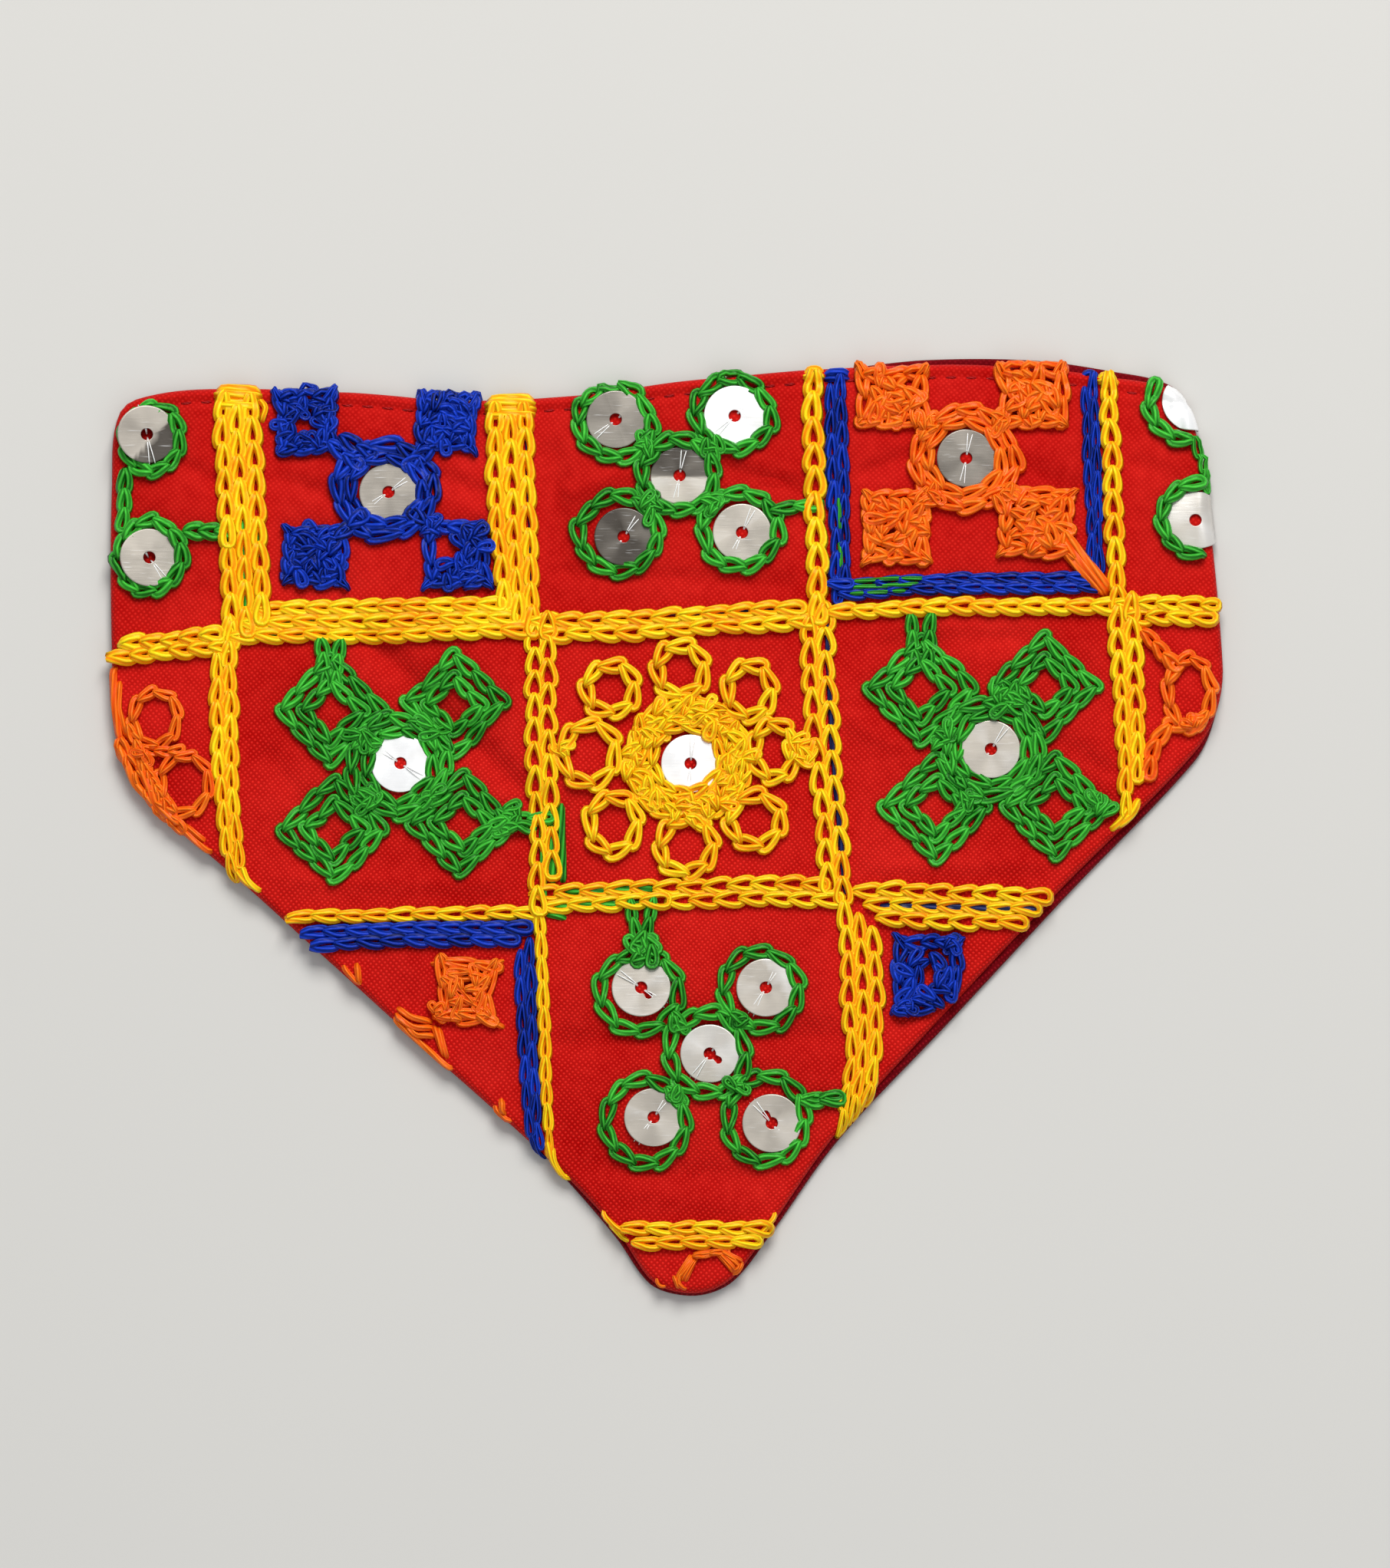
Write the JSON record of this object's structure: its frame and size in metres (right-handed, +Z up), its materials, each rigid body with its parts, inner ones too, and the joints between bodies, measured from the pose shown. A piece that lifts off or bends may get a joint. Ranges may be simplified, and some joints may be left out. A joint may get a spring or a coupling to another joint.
{
  "type": "embroidered bandana",
  "caption": "Small pointed bandana of two cloth layers with a long neck edge, its front covered in raised chain-stitch bands, rings and crosses, lying flat.",
  "frame": {"origin": "the middle of the bounding box at the flat underside, where the bandana rests", "axes": "+X to the right along the neck edge, +Y from the point towards the neck edge, +Z up out of the embroidered face"},
  "size_m": [0.1511, 0.1296, 0.0047],
  "materials": {
    "red_cloth": "bright red plain weave with a slight sheen",
    "maroon_cloth": "dark red plain weave, matt",
    "yellow_thread": "glossy stranded thread in chain stitch",
    "green_thread": "glossy stranded thread in chain stitch",
    "blue_thread": "glossy stranded thread in chain stitch",
    "orange_thread": "glossy stranded thread in chain stitch",
    "sequin": "flat silvery disc with a small centre hole and fine scratches",
    "clear_thread": "fine clear sewing thread"
  },
  "bodies": {
    "root": {"back_panel": "maroon_cloth", "front_panel": "red_cloth", "yellow_column_1": "yellow_thread", "yellow_column_2": "yellow_thread", "yellow_column_3": "yellow_thread", "yellow_column_4": "yellow_thread", "yellow_row_1_far_left": "yellow_thread", "yellow_row_1_left": "yellow_thread", "yellow_row_1_middle": "yellow_thread", "yellow_row_1_right": "yellow_thread", "yellow_row_1_far_right": "yellow_thread", "yellow_row_2_left": "yellow_thread", "yellow_row_2_middle": "yellow_thread", "yellow_row_2_right": "yellow_thread", "yellow_row_3": "yellow_thread", "yellow_flower": "yellow_thread", "green_rings_upper": "green_thread", "green_rings_lower": "green_thread", "green_rings_left": "green_thread", "green_rings_right": "green_thread", "green_diamonds_left": "green_thread", "green_diamonds_right": "green_thread", "blue_border_1_left": "blue_thread", "blue_border_1_right": "blue_thread", "blue_border_1_foot": "blue_thread", "blue_border_2_side": "blue_thread", "blue_border_2_top": "blue_thread", "blue_cross": "blue_thread", "blue_block": "blue_thread", "orange_cross": "orange_thread", "orange_block": "orange_thread", "orange_rings_left": "orange_thread", "orange_rings_right": "orange_thread", "orange_arch": "orange_thread"}
  },
  "joints": []
}
